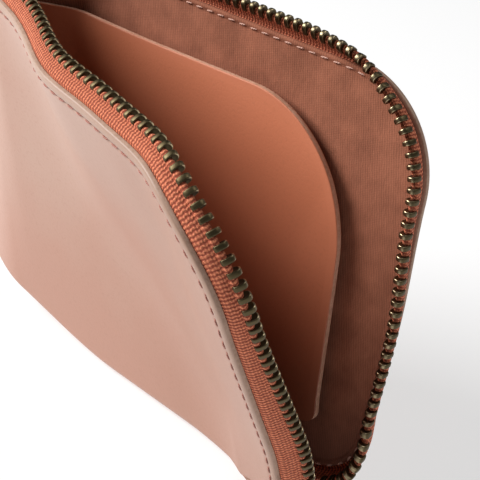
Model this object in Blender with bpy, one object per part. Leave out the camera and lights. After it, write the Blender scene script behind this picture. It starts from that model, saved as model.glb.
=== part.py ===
"""Zip around wallet, standing open: one folded hide, a cotton lining, a slip pocket and a metal zip.

Units are metres and +Z is up. X runs along the fold, from the sewn end to the zip's corner, and Y from
the front panel to the back panel. The origin is the middle of the flat base under the fold.

A point on a panel is given by u, its distance from the sewn end, w, its height above the fold line, and
depth, its distance inwards from the leather's outer face.
"""
import math

import bmesh
import bpy
import numpy as np

MM = 0.001
CLEARANCE = 0.3 * MM  # between pieces that touch on the real wallet

# The hide: both panels and the fold between them
LENGTH = 117.4 * MM
HEIGHT = 89.4 * MM
TOP_RADIUS = 21.8 * MM  # zip corner between the top edge and the side
BOTTOM_RADIUS = 19.2 * MM  # lower corner, where the zip runs into the fold
LEATHER = 1.4 * MM
HALF_WIDTH = 5.9 * MM  # centre plane to the outer face, at the fold
FOLD_DEPTH = 4.5 * MM
BASE_CUT = 0.8 * MM  # how far the fold is pressed flat where it stands
END_TAPER = 16 * MM  # the panels draw together over this length towards the sewn end
END_RISE = 7.6 * MM  # the fold climbs this far at the sewn end
RISE_SPAN = 52 * MM  # length over which it climbs
LEAN_TAPER = 24 * MM  # the panels reach their full lean this far from the sewn end
BACK_LEAN = math.radians(8.5)
FRONT_LEAN = math.radians(5.9)

# The front flap: the zip side of the front panel, bent open along a slanting line
FLAP_START = 24 * MM  # bend line's upper end, along the top edge
FLAP_FOOT = 1.5 * MM  # bend line's lower end, above the end of the fold
FLAP_LEAD = 1.6 * MM  # free length between the bend line's upper end and the flap's tip
FLAP_ANGLE = math.radians(24)
FLAP_SPAN = 10 * MM  # the bend is spread over this width
LEATHER_SLIT = 0.8 * MM  # gap in the hide along the bend line
LINING_SLIT = 2.6 * MM

# Lining and slip pocket
LINING = 0.4 * MM
LINING_INSET = 0.5 * MM
LINING_EASE = 0.2 * MM  # spare room over the tape, for the flap's bend
LINING_START = 4.2 * MM
POCKET_LEATHER = 1.2 * MM
POCKET_LEFT = 9 * MM
POCKET_RIGHT = 108.3 * MM
POCKET_SLANT = 6.2 * MM  # the right edge leans in this far at the top
POCKET_TOP = 79 * MM
POCKET_FOOT = 3 * MM
POCKET_RADIUS = 28 * MM
POCKET_BOW = 1.2 * MM  # how far the pocket's free edges stand off the lining

# Zip tapes and teeth
TAPE = 0.5 * MM
TAPE_MARGIN = 7 * MM  # sewn width hidden under the leather's edge
TAPE_SETBACK = 0.3 * MM  # the tape starts to turn inwards this far inside the edge
TAPE_TURN_RADIUS = 1.2 * MM
TAPE_REACH = 3.5 * MM  # from the turn's start to the middle of the row of teeth
TAPE_STEP = 3.2 * MM
ZIP_START = 5.4 * MM
END_CURL = math.radians(25)
FRONT_CURL = math.radians(76)
FRONT_CURL_FROM = 8 * MM
FRONT_CURL_TO = 18 * MM
BACK_TOP_CURL = math.radians(38)
BACK_CORNER_CURL = math.radians(97)
BACK_SIDE_CURL = math.radians(52)
BACK_CURL_LEAD = 12 * MM  # the back tape starts to curl this far before the corner
FOOT_CURL = math.radians(42)  # both tapes, where they run into the fold
TOOTH_PITCH = 2.3 * MM
TOOTH_THICKNESS = 1.0 * MM
TOOTH_SHOULDER = 0.12 * MM
TOOTH_HALF_HEIGHT = 1.15 * MM
TOOTH_HEEL = 0.9 * MM
TOOTH_SHOULDER_REACH = 0.6 * MM
TOOTH_HEAD = 1.7 * MM
TOOTH_HEAD_HALF = 0.55 * MM
CORD_RADIUS = 0.5 * MM
STOP_LENGTH = 2.6 * MM
STOP_HEAD = 0.8 * MM
STOP_END_MARGIN = 5 * MM

# Slider, parked at the sewn end, and its puller. Heights are above the panels' top edge.
SLIDER_REAR = 2.2 * MM
SLIDER_WAIST = 5.6 * MM  # the plates start to widen here
SLIDER_MOUTH = 9.1 * MM  # and are at their widest from here
SLIDER_CHEEK = 11 * MM  # to here
SLIDER_FRONT = 12 * MM
SLIDER_REAR_HALF = 1.8 * MM
SLIDER_FRONT_HALF = 3.5 * MM
SLIDER_NOSE_HALF = 1.8 * MM
SLIDER_BEVEL = 0.25 * MM
LOWER_PLATE_FLOOR = 0.4 * MM
PLATE = 0.8 * MM
PLATE_GAP = 4.1 * MM
NECK_LENGTH = 2.8 * MM
NECK_HALF = 0.8 * MM
BAIL_LENGTH = 5.8 * MM
BAIL_HEIGHT = 2.8 * MM
BAIL_STRIP = 0.9 * MM
BAIL_HALF = 1.0 * MM
PULLER_LENGTH = 21 * MM
PULLER_THICKNESS = 1.2 * MM
PULLER_ARM = 1.2 * MM
PULLER_END_HALF = 3.3 * MM
PULLER_WINDOW = 5.0 * MM
PULLER_PIVOT_LEAD = 0.9 * MM  # rear of the bail's opening to the middle of the puller's bar
STOP_CLIP = 1.5 * MM
STOP_CLIP_HEIGHT = 3.0 * MM

# Grid densities
FLAT_ROWS = 2
BEND_ROWS = 5
POCKET_ROWS = 8
FOLD_STEPS = 12
LINING_FOLD_STEPS = 6
LONG_COLUMNS = 15
END_COLUMNS = 10
CORNER_COLUMNS = 6
POCKET_COLUMNS = 8
TAPE_TURN_STEPS = 2
PULLER_END_STEPS = 8

# Values worked out from the sizes above
FOLD_LENGTH = LENGTH - BOTTOM_RADIUS
FOLD_LINE = FOLD_DEPTH - BASE_CUT
ORIGIN_U = (RISE_SPAN + FOLD_LENGTH) / 2
SEAM_HALF = LEATHER + CLEARANCE / 2
TAPE_DEPTH = LEATHER + CLEARANCE + TAPE / 2
LINING_DEPTH = LEATHER + 2 * CLEARANCE + TAPE + LINING_EASE
LINING_FACE = LINING_DEPTH + LINING
TOP_EDGE = FOLD_LINE + HEIGHT
CORNER_START = LENGTH - TOP_RADIUS
CORNER_END = CORNER_START + TOP_RADIUS * math.pi / 2
SIDE_END = CORNER_END + HEIGHT - TOP_RADIUS - BOTTOM_RADIUS
EDGE_LENGTH = SIDE_END + BOTTOM_RADIUS * math.pi / 2
ZIP_END = EDGE_LENGTH - STOP_LENGTH - STOP_END_MARGIN

LEATHER_TAN = (0.60, 0.36, 0.26)
POCKET_TAN = (0.50, 0.18, 0.08)
LINING_BROWN = (0.26, 0.10, 0.05)
TAPE_TERRACOTTA = (0.48, 0.14, 0.08)
OLD_BRASS = (0.30, 0.24, 0.12)


def ease(t):
    """Smooth step from 0 to 1."""
    t = np.clip(t, 0, 1)
    return t * t * (3 - 2 * t)


def half_width(u):
    """Centre plane to the outer face at the fold line: a quarter sine up from the sewn end."""
    return SEAM_HALF + (HALF_WIDTH - SEAM_HALF) * np.sin(np.clip(u / END_TAPER, 0, 1) * math.pi / 2)


def end_lift(u):
    """Height by which the fold climbs towards the sewn end."""
    return END_RISE * (1 - ease(u / RISE_SPAN))


def panel(u, w, depth, side):
    """Point of the back panel (side 1) or of the front panel before its bend (side -1)."""
    u, w, depth = np.broadcast_arrays(u, w, depth)
    lean = (BACK_LEAN if side > 0 else FRONT_LEAN) * ease(u / LEAN_TAPER)
    x = u - ORIGIN_U
    y = side * (half_width(u) + w * np.sin(lean) - depth * np.cos(lean))
    lift = end_lift(u) * np.clip(1 - w / HEIGHT, 0, None)
    z = FOLD_LINE + w * np.cos(lean) + depth * np.sin(lean) + lift
    return np.stack([x, y, z], axis=-1)


def bend_line():
    """Upper end and direction of the flap's bend line, at the middle of the leather."""
    upper = panel(FLAP_START, HEIGHT, LEATHER / 2, -1)
    lower = panel(FOLD_LENGTH, FLAP_FOOT, LEATHER / 2, -1)
    return upper, (lower - upper) / np.linalg.norm(lower - upper)


def bend_distance(u, w):
    """Distance in the flat panel from the bend line, positive on the flap."""
    run = FOLD_LENGTH - FLAP_START
    fall = HEIGHT - FLAP_FOOT
    return ((u - FLAP_START) * fall + (w - HEIGHT) * run) / math.hypot(run, fall)


def front(u, w, depth):
    """Point of the front panel, turned about the bend line by an angle that grows over the bend's span."""
    flat = panel(u, w, depth, -1)
    start, axis = bend_line()
    angle = FLAP_ANGLE * ease(bend_distance(*np.broadcast_arrays(u, w)) / FLAP_SPAN)[..., None]
    arm = flat - start
    along = (arm @ axis)[..., None] * axis
    return start + arm * np.cos(angle) + np.cross(axis, arm) * np.sin(angle) + along * (1 - np.cos(angle))


def back(u, w, depth):
    """Point of the back panel."""
    return panel(u, w, depth, 1)


def fold(u, turn, depth):
    """Point of the fold at an angle from the front panel, pressed flat underneath."""
    u, turn = np.broadcast_arrays(u, turn)
    y = -(half_width(u) - depth) * np.cos(turn)
    z = FOLD_LINE - (FOLD_DEPTH - depth) * np.sin(turn)
    return np.stack([u - ORIGIN_U, y, np.maximum(z, 0) + end_lift(u)], axis=-1)


def top_line(u, inset):
    """Height of a panel's upper edge, level and then round the zip corner."""
    across = np.clip(u - CORNER_START, 0, TOP_RADIUS - inset)
    return HEIGHT - TOP_RADIUS + np.sqrt((TOP_RADIUS - inset) ** 2 - across ** 2)


def low_line(u, inset):
    """Height of a panel's lower edge past the fold's end, round the lower corner."""
    across = np.clip(u - FOLD_LENGTH, 0, BOTTOM_RADIUS - inset)
    return np.where(u > FOLD_LENGTH, BOTTOM_RADIUS - np.sqrt((BOTTOM_RADIUS - inset) ** 2 - across ** 2), 0)


def bend_height(u, offset):
    """Height of the bend line, moved sideways by an offset in the panel."""
    run = FOLD_LENGTH - FLAP_START
    fall = HEIGHT - FLAP_FOOT
    return HEIGHT - fall * (u - FLAP_START) / run + offset * math.hypot(run, fall) / run


def corner_columns(inset):
    """Distances along the panel past the fold's end, closer together towards the side."""
    turns = np.linspace(0, math.pi / 2, CORNER_COLUMNS + 1)[1:]
    return FOLD_LENGTH + (BOTTOM_RADIUS - inset) * np.sin(turns)


def principled(name, colour, roughness, metallic=0.0):
    """Plain surface with the piece's colour."""
    material = bpy.data.materials.new(name)
    material.use_nodes = True
    shader = material.node_tree.nodes["Principled BSDF"]
    shader.inputs["Base Color"].default_value = (*colour, 1)
    shader.inputs["Roughness"].default_value = roughness
    shader.inputs["Metallic"].default_value = metallic
    return material


def add_object(name, mesh, material):
    """Link a mesh to the scene under the piece's name, with its faces pointing out."""
    work = bmesh.new()
    work.from_mesh(mesh)
    bmesh.ops.recalc_face_normals(work, faces=work.faces)
    work.to_mesh(mesh)
    work.free()
    mesh.materials.append(material)
    mesh.shade_smooth()
    mesh.set_sharp_from_angle(angle=math.radians(35))
    thing = bpy.data.objects.new(name, mesh)
    bpy.context.scene.collection.objects.link(thing)
    return thing


def sheet(name, outer, inner, material):
    """Closed sheet between two grids of points. A point that isn't a number is left out of both."""
    rows, columns = outer.shape[:2]
    present = np.isfinite(outer).all(axis=-1)
    index = np.full((rows, columns), -1)
    index[present] = np.arange(present.sum())
    count = int(present.sum())
    faces = []
    for row in range(rows - 1):
        for column in range(columns - 1):
            near = index[row, column:column + 2].tolist()
            far = index[row + 1, column:column + 2].tolist()
            cell = (near[0], near[1], far[1], far[0])
            if min(cell) >= 0:
                faces.append(cell)
    used = {}
    for face in faces:
        for start, end in zip(face, face[1:] + face[:1]):
            used.setdefault((min(start, end), max(start, end)), []).append((start, end))
    walls = [(edge[0][1], edge[0][0], edge[0][0] + count, edge[0][1] + count)
             for edge in used.values() if len(edge) == 1]
    under = [tuple(corner + count for corner in reversed(face)) for face in faces]
    mesh = bpy.data.meshes.new(name)
    mesh.from_pydata(np.concatenate([outer[present], inner[present]]).tolist(), [], faces + under + walls)
    return add_object(name, mesh, material)


def loft(name, sections, material):
    """Closed tube through a list of sections that have the same number of points."""
    count, sides = sections.shape[:2]
    faces = []
    for ring in range(count - 1):
        for side in range(sides):
            here = ring * sides + side
            ahead = ring * sides + (side + 1) % sides
            faces.append((here, ahead, ahead + sides, here + sides))
    faces.append(tuple(range(sides)))
    faces.append(tuple(range((count - 1) * sides, count * sides)))
    mesh = bpy.data.meshes.new(name)
    mesh.from_pydata(sections.reshape(-1, 3).tolist(), [], faces)
    return add_object(name, mesh, material)


def extruded(name, outline, start, end, across, material):
    """Prism of a flat outline. across is 'y' for an outline in X and Z, or 'z' for one in X and Y."""
    axis = 1 if across == "y" else 2
    ends = []
    for level in (start, end):
        ends.append(np.insert(np.array(outline, dtype=float), axis, level, axis=1))
    return loft(name, np.stack(ends), material)


def wrap(start, inset, slit, steps, depth):
    """Grid over the fixed part of the front, the fold and the back, at one depth."""
    columns = np.concatenate([
        np.linspace(start, FLAP_START, END_COLUMNS)[:-1],
        np.linspace(FLAP_START, FOLD_LENGTH, LONG_COLUMNS + 1),
        corner_columns(inset),
    ])
    sloping = np.maximum(bend_height(columns, -slit / 2), CLEARANCE)
    front_top = np.where(columns <= FLAP_START, HEIGHT - inset, np.minimum(sloping, HEIGHT - inset))
    share = np.linspace(0, 1, FLAT_ROWS + 1)[:, None]
    turns = np.linspace(0, math.pi, steps + 1)[1:-1, None]
    low = low_line(columns, inset)
    rows_front = panel(columns, front_top * (1 - share), depth, -1)
    rows_fold = fold(columns, turns, depth)
    rows_back = back(columns, low + (top_line(columns, inset) - low) * share, depth)
    past_fold = columns > FOLD_LENGTH
    rows_front[:, past_fold] = np.nan
    rows_fold[:, past_fold] = np.nan
    return np.concatenate([rows_front, rows_fold, rows_back])


def flap(inset, slit, depth):
    """Grid over the flap at one depth: rows beside the bend line, then rows up to the zip edge."""
    columns = np.concatenate([
        np.linspace(FLAP_START + FLAP_LEAD + slit / 2, FOLD_LENGTH, LONG_COLUMNS + 1),
        [FOLD_LENGTH + slit],
        corner_columns(inset),
    ])
    top = top_line(columns, inset)
    low = np.where(columns <= FOLD_LENGTH, bend_height(columns, slit / 2), low_line(columns, inset))
    bent = bend_height(columns, np.linspace(slit / 2, FLAP_SPAN, BEND_ROWS + 1)[:, None])
    share = np.linspace(0, 1, FLAT_ROWS + 1)[1:, None]
    height = np.concatenate([bent, bent[-1] + (top - bent[-1]) * share])
    rank = np.arange(len(height))[:, None]
    least = np.minimum(CLEARANCE, (top - low) / len(height))
    height = np.clip(height, low + rank * least, top - rank[::-1] * least)
    return front(columns, height, depth)


def slip_pocket(depth):
    """Grid over the slip pocket, with one large rounded corner, bowed off the lining at its free edges."""
    round_start = POCKET_RIGHT - POCKET_RADIUS
    columns = np.concatenate([
        np.linspace(POCKET_LEFT, LEAN_TAPER, END_COLUMNS)[:-1],
        np.linspace(LEAN_TAPER, round_start, POCKET_COLUMNS)[:-1],
        round_start + POCKET_RADIUS * np.sin(np.linspace(0, math.pi / 2, POCKET_COLUMNS + 1)),
    ])
    across = np.clip(columns - POCKET_RIGHT + POCKET_RADIUS, 0, POCKET_RADIUS)
    top = POCKET_TOP - POCKET_RADIUS + np.sqrt(POCKET_RADIUS ** 2 - across ** 2)
    low = low_line(columns, POCKET_FOOT) * (columns > FOLD_LENGTH) + POCKET_FOOT * (columns <= FOLD_LENGTH)
    share = np.linspace(0, 1, POCKET_ROWS + 1)[:, None]
    height = low + (top - low) * share
    bow = POCKET_BOW * ease(height / POCKET_TOP) * ease((columns - POCKET_LEFT) / POCKET_LEFT)
    slant = POCKET_SLANT * height / POCKET_TOP * (columns - POCKET_LEFT) / (POCKET_RIGHT - POCKET_LEFT)
    return back(columns - slant, height, depth + bow)


def edge_point(along):
    """Place and outward direction on a panel's zip edge, by distance along it from the sewn end."""
    corner = np.clip((along - CORNER_START) / TOP_RADIUS, 0, math.pi / 2)
    lower = np.clip((along - SIDE_END) / BOTTOM_RADIUS, 0, math.pi / 2)
    turn = corner + lower
    u = np.minimum(along, CORNER_START) + TOP_RADIUS * np.sin(corner) - BOTTOM_RADIUS * (1 - np.cos(lower))
    side = np.clip(along - CORNER_END, 0, SIDE_END - CORNER_END)
    w = HEIGHT - TOP_RADIUS * (1 - np.cos(corner)) - side - BOTTOM_RADIUS * np.sin(lower)
    return u, w, np.sin(turn), np.cos(turn)


def curl(along, side):
    """Angle by which a tape turns in from its panel's plane."""
    if side < 0:
        share = ease((along - FRONT_CURL_FROM) / (FRONT_CURL_TO - FRONT_CURL_FROM))
        angle = END_CURL + (FRONT_CURL - END_CURL) * share
    else:
        middle = (CORNER_START + CORNER_END) / 2
        lead = CORNER_START - BACK_CURL_LEAD
        rise = (BACK_CORNER_CURL - BACK_TOP_CURL) * ease((along - lead) / (middle - lead))
        fall = (BACK_SIDE_CURL - BACK_CORNER_CURL) * ease((along - middle) / (SIDE_END - middle))
        angle = BACK_TOP_CURL + rise + fall
    foot = ease((along - SIDE_END) / (EDGE_LENGTH - SIDE_END))
    return angle + (FOOT_CURL - angle) * foot


def tape_profile(along, side, reach):
    """Offset outwards and depth of a tape's middle, at a distance from where it starts to turn."""
    angle = curl(along, side)
    turned = np.clip(reach / TAPE_TURN_RADIUS, 0, angle)
    straight = np.maximum(reach - TAPE_TURN_RADIUS * angle, 0)
    offset = np.minimum(reach, 0) + TAPE_TURN_RADIUS * np.sin(turned) + straight * np.cos(angle)
    depth = TAPE_TURN_RADIUS * (1 - np.cos(turned)) + straight * np.sin(angle)
    return offset - TAPE_SETBACK, depth + TAPE_DEPTH, turned


def zip_point(along, side, offset, depth):
    """Point beside a panel's zip edge."""
    u, w, out_u, out_w = edge_point(along)
    place = back if side > 0 else front
    return place(u + out_u * offset, w + out_w * offset, depth)


def tape_margin(along, side):
    """Width of tape sewn inside the edge, kept clear of the bend line on the flap."""
    if side > 0:
        return np.full_like(along, TAPE_MARGIN)
    run = FOLD_LENGTH - FLAP_START
    fall = HEIGHT - FLAP_FOOT
    room = ((along - FLAP_START) * fall - LINING_SLIT / 2 * math.hypot(run, fall)) / run
    return np.where(along < FLAP_START, TAPE_MARGIN, np.clip(room, TAPE_SETBACK * 2, TAPE_MARGIN))


def zip_tape(name, side, start, end, material):
    """Woven tape: a sewn margin in the panel's plane, then a turn towards the other panel."""
    along = np.linspace(start, end, max(3, int((end - start) / TAPE_STEP)))
    free = TAPE_REACH - TOOTH_HEEL - CLEARANCE
    turns = np.linspace(0, TAPE_TURN_RADIUS, TAPE_TURN_STEPS + 1)
    margin = tape_margin(along, side)
    rows = [TAPE_SETBACK - margin, (TAPE_SETBACK - margin) / 2]
    rows += [np.full_like(along, reach) for reach in (*turns, free)]
    faces = []
    for half in (-TAPE / 2, TAPE / 2):
        grid = []
        for reach in rows:
            offset, depth, angle = tape_profile(along, side, reach)
            grid.append(zip_point(along, side, offset - half * np.sin(angle), depth + half * np.cos(angle)))
        faces.append(np.stack(grid))
    return sheet(name, faces[0], faces[1], material)


def hexagon(heel, shoulder, head, half, head_half):
    """Section of a row of teeth: distance along the tape towards the head, and height across it."""
    return np.array([(-heel, -half), (shoulder, -half), (head, -head_half),
                     (head, head_half), (shoulder, half), (-heel, half)])


TOOTH_SECTION = hexagon(TOOTH_HEEL, TOOTH_SHOULDER_REACH, TOOTH_HEAD, TOOTH_HALF_HEIGHT, TOOTH_HEAD_HALF)
STOP_SECTION = hexagon(TOOTH_HEEL, CORD_RADIUS, STOP_HEAD, TOOTH_HALF_HEIGHT, TOOTH_HEAD_HALF)
CORD_SECTION = hexagon(CORD_RADIUS, 0, CORD_RADIUS, CORD_RADIUS, CORD_RADIUS / 2)


def row_rings(along, side, sections):
    """Sections of a row of teeth set across the end of the tape."""
    offset, depth, angle = tape_profile(along, side, np.full_like(along, TAPE_REACH))
    ahead = sections[..., 0]
    up = sections[..., 1]
    cos = np.cos(angle)[:, None]
    sin = np.sin(angle)[:, None]
    outward = offset[:, None] + ahead * cos - up * sin
    inward = depth[:, None] + ahead * sin + up * cos
    return zip_point(along[:, None], side, outward, inward)


def zip_teeth(name, side, start, end, shift, material):
    """Row of teeth on its cord: the section steps from the cord out to each tooth and back."""
    count = int((end - start - TOOTH_PITCH) / TOOTH_PITCH)
    centres = start + TOOTH_PITCH * (np.arange(count) + shift + 0.5)
    half = TOOTH_THICKNESS / 2
    steps = np.array([-half - TOOTH_SHOULDER, -half, half, half + TOOTH_SHOULDER])
    along = (centres[:, None] + steps).ravel()
    sections = np.tile(np.stack([CORD_SECTION, TOOTH_SECTION, TOOTH_SECTION, CORD_SECTION]), (count, 1, 1))
    return loft(name, row_rings(along, side, sections), material)


def top_stop(name, side, material):
    """Pressed clip that ends a row of teeth beside the fold."""
    along = ZIP_END + CLEARANCE + np.array([0, STOP_LENGTH / 2, STOP_LENGTH])
    sections = np.tile(STOP_SECTION, (len(along), 1, 1))
    return loft(name, row_rings(along, side, sections), material)


def bottom_stop(material):
    """Clip over both tapes behind the slider, on the panels' top edges."""
    rear = SLIDER_REAR - CLEARANCE - STOP_CLIP - ORIGIN_U
    half = SEAM_HALF + PLATE
    floor = TOP_EDGE + CLEARANCE
    crown = floor + STOP_CLIP_HEIGHT
    arch = [(rear, floor), (rear + STOP_CLIP, floor), (rear + STOP_CLIP, crown), (rear, crown)]
    clip = extruded("bottom_stop", arch, -half, half, "y", material)
    rounding = clip.modifiers.new("rounding", "BEVEL")
    rounding.width = SLIDER_BEVEL
    rounding.segments = 2
    return clip


def slider_outline():
    """Plan of a slider plate: narrow at the rear, wide across the two mouths, with a blunt nose."""
    right = [(SLIDER_REAR, SLIDER_REAR_HALF), (SLIDER_WAIST, SLIDER_REAR_HALF),
             (SLIDER_MOUTH, SLIDER_FRONT_HALF), (SLIDER_CHEEK, SLIDER_FRONT_HALF),
             (SLIDER_FRONT, SLIDER_NOSE_HALF)]
    points = [(x, -y) for x, y in right] + [(x, y) for x, y in reversed(right)]
    return [(x - ORIGIN_U, y) for x, y in points]


def bail_outline(floor):
    """Side view of the bail: a low bridge with cut corners over the puller's bar."""
    rear = SLIDER_REAR + BAIL_STRIP - ORIGIN_U
    ahead = rear + BAIL_LENGTH
    top = floor + BAIL_HEIGHT
    root = floor - PLATE / 2
    outside = [(rear, root), (rear, top - BAIL_STRIP), (rear + BAIL_STRIP, top),
               (ahead - BAIL_STRIP, top), (ahead, top - BAIL_STRIP), (ahead, root)]
    inside = [(ahead - BAIL_STRIP, root), (ahead - BAIL_STRIP, top - BAIL_STRIP),
              (rear + BAIL_STRIP, top - BAIL_STRIP), (rear + BAIL_STRIP, root)]
    return outside + inside


def joined(body, tool):
    """Weld a second solid to the first with a Boolean union."""
    tool.hide_render = True
    tool.display_type = "WIRE"
    union = body.modifiers.new(tool.name, "BOOLEAN")
    union.operation = "UNION"
    union.object = tool


def slider(material):
    """Slider: two plates joined by a neck between the mouths, with a bail on the upper plate."""
    floor = TOP_EDGE + LOWER_PLATE_FLOOR
    ceiling = floor + PLATE + PLATE_GAP
    crown = ceiling + PLATE
    body = extruded("slider", slider_outline(), ceiling, crown, "z", material)
    lower = extruded("slider_lower_plate", slider_outline(), floor, floor + PLATE, "z", material)
    nose = SLIDER_FRONT - PLATE - ORIGIN_U
    neck_plan = [(nose - NECK_LENGTH, 0), (nose - NECK_LENGTH / 2, -NECK_HALF), (nose, 0),
                 (nose - NECK_LENGTH / 2, NECK_HALF)]
    neck = extruded("slider_neck", neck_plan, floor + PLATE / 2, ceiling + PLATE / 2, "z", material)
    bail = extruded("slider_bail", bail_outline(crown), -BAIL_HALF, BAIL_HALF, "y", material)
    for tool in (neck, lower, bail):
        joined(body, tool)
    return crown


def puller(crown, material):
    """Puller: a flat tab with a window whose end bar turns under the bail. It rests on the slider's top."""
    bar = PULLER_THICKNESS / 2
    swing_x = SLIDER_REAR + BAIL_STRIP * 2 + CLEARANCE + PULLER_PIVOT_LEAD - ORIGIN_U
    pivot = bpy.data.objects.new("puller_pivot", None)
    pivot.location = (swing_x, 0, crown + CLEARANCE + bar)
    bpy.context.scene.collection.objects.link(pivot)
    inner = BAIL_HALF + CLEARANCE
    outer = inner + PULLER_ARM
    round_start = PULLER_END_HALF - PULLER_LENGTH
    rounded = [(round_start - PULLER_END_HALF * math.sin(turn), PULLER_END_HALF * math.cos(turn))
               for turn in np.linspace(0, math.pi, PULLER_END_STEPS + 1)]
    plan = [(bar, -outer), (bar, outer), (-PULLER_WINDOW, outer)] + rounded + [(-PULLER_WINDOW, -outer)]
    tab = extruded("puller", plan, -bar, bar, "z", material)
    hole = [(-bar, -inner), (-bar, inner), (-PULLER_WINDOW + bar, inner), (-PULLER_WINDOW + bar, -inner)]
    window = extruded("puller_window", hole, -2 * bar, 2 * bar, "z", material)
    window.hide_render = True
    window.display_type = "WIRE"
    cut = tab.modifiers.new("window", "BOOLEAN")
    cut.operation = "DIFFERENCE"
    cut.object = window
    tab.parent = pivot
    window.parent = pivot


def build():
    """Make every piece of the wallet."""
    for thing in list(bpy.data.objects):
        bpy.data.objects.remove(thing)
    hide = principled("outer_leather", LEATHER_TAN, 0.42)
    tan = principled("pocket_leather", POCKET_TAN, 0.5)
    cotton = principled("lining", LINING_BROWN, 0.9)
    weave = principled("zip_tape", TAPE_TERRACOTTA, 0.85)
    brass = principled("zip_metal", OLD_BRASS, 0.35, 1.0)

    sheet("outer_leather", wrap(0, 0, LEATHER_SLIT, FOLD_STEPS, 0),
          wrap(0, 0, LEATHER_SLIT, FOLD_STEPS, LEATHER), hide)
    sheet("flap_leather", flap(0, LEATHER_SLIT, 0), flap(0, LEATHER_SLIT, LEATHER), hide)
    sheet("lining", wrap(LINING_START, LINING_INSET, LINING_SLIT, LINING_FOLD_STEPS, LINING_DEPTH),
          wrap(LINING_START, LINING_INSET, LINING_SLIT, LINING_FOLD_STEPS, LINING_FACE), cotton)
    sheet("flap_lining", flap(LINING_INSET, LINING_SLIT, LINING_DEPTH),
          flap(LINING_INSET, LINING_SLIT, LINING_FACE), cotton)
    pocket_depth = LINING_FACE + CLEARANCE
    sheet("inner_pocket", slip_pocket(pocket_depth), slip_pocket(pocket_depth + POCKET_LEATHER), tan)

    flap_tip = FLAP_START + FLAP_LEAD + LINING_SLIT / 2
    tape_end = ZIP_END + STOP_LENGTH + 2 * CLEARANCE
    zip_tape("back_zip_tape", 1, ZIP_START, tape_end, weave)
    zip_tape("front_zip_tape", -1, flap_tip, tape_end, weave)
    zip_tape("front_zip_tape_end", -1, ZIP_START, FLAP_START, weave)
    zip_teeth("back_zip_teeth", 1, ZIP_START, ZIP_END, 0, brass)
    zip_teeth("front_zip_teeth", -1, flap_tip, ZIP_END, 0.5, brass)
    zip_teeth("front_zip_teeth_end", -1, ZIP_START, FLAP_START, 0.5, brass)
    top_stop("back_top_stop", 1, brass)
    top_stop("front_top_stop", -1, brass)
    bottom_stop(brass)
    crown = slider(brass)
    puller(crown, brass)


build()
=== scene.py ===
"""Looks of the zip around wallet: hide, lining, slip pocket, woven tapes, metal teeth and sewing threads.

Each surface is a numpy function of the panel coordinates that the part uses: u, the distance from the sewn
end, w, the height above the fold line, and depth, the distance inwards from the leather's outer face.
"""
import math

import bmesh
import bpy
import numpy as np
from mathutils import Matrix, Vector


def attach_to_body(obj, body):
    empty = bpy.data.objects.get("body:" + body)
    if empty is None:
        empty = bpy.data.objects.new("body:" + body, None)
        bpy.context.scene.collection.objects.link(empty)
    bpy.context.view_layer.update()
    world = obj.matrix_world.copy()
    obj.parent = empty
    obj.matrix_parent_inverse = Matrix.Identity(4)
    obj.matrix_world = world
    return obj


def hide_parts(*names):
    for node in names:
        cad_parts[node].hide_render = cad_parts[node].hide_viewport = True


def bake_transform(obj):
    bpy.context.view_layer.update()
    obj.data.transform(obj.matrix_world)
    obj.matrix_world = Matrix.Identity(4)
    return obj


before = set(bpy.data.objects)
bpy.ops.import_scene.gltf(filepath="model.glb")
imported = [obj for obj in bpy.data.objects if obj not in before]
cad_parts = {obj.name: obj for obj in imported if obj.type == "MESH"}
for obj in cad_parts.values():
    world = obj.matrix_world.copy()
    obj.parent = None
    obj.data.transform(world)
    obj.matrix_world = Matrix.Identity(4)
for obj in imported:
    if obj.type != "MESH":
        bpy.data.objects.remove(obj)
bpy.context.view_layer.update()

MM = 0.001
HALF_TURN = math.pi
FULL_TURN = 2 * HALF_TURN
QUARTER = math.pi / 2
FRONT = -1  # sides of the wallet
BACK = 1

# Sizes repeated from the part
LENGTH = 117.4 * MM
HEIGHT = 89.4 * MM
TOP_RADIUS = 21.8 * MM
BOTTOM_RADIUS = 19.2 * MM
LEATHER = 1.4 * MM
HALF_WIDTH = 5.9 * MM
FOLD_DEPTH = 4.5 * MM
FOLD_LINE = 3.7 * MM
END_TAPER = 16 * MM
END_RISE = 7.6 * MM
RISE_SPAN = 52 * MM
LEAN_TAPER = 24 * MM
BACK_LEAN = math.radians(8.5)
FRONT_LEAN = math.radians(5.9)
SEAM_HALF = 1.55 * MM
FLAP_START = 24 * MM
FLAP_FOOT = 1.5 * MM
FLAP_ANGLE = math.radians(24)
LINING_DEPTH = 2.7 * MM
LINING_FACE = 3.1 * MM
LINING_START = 4.2 * MM
POCKET_DEPTH = 3.4 * MM
POCKET_LEFT = 9 * MM
POCKET_RIGHT = 108.3 * MM
POCKET_SLANT = 6.2 * MM
POCKET_TOP = 79 * MM
POCKET_FOOT = 3 * MM
POCKET_RADIUS = 28 * MM
TAPE = 0.5 * MM
TAPE_DEPTH = 1.95 * MM
TAPE_SETBACK = 0.3 * MM
TAPE_TURN_RADIUS = 1.2 * MM
TAPE_REACH = 3.5 * MM
ZIP_START = 5.4 * MM
ZIP_END = 200.8 * MM
END_CURL = math.radians(25)
FRONT_CURL = math.radians(76)
FRONT_CURL_FROM = 8 * MM
FRONT_CURL_TO = 18 * MM
BACK_TOP_CURL = math.radians(38)
BACK_CORNER_CURL = math.radians(97)
BACK_CURL_LEAD = 12 * MM
FOOT_CURL = math.radians(42)
TOOTH_PITCH = 2.3 * MM
STOP_LENGTH = 2.6 * MM
FOLD_LENGTH = LENGTH - BOTTOM_RADIUS
ORIGIN_U = (RISE_SPAN + FOLD_LENGTH) / 2
CORNER_START = LENGTH - TOP_RADIUS
CORNER_END = CORNER_START + TOP_RADIUS * QUARTER
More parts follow.
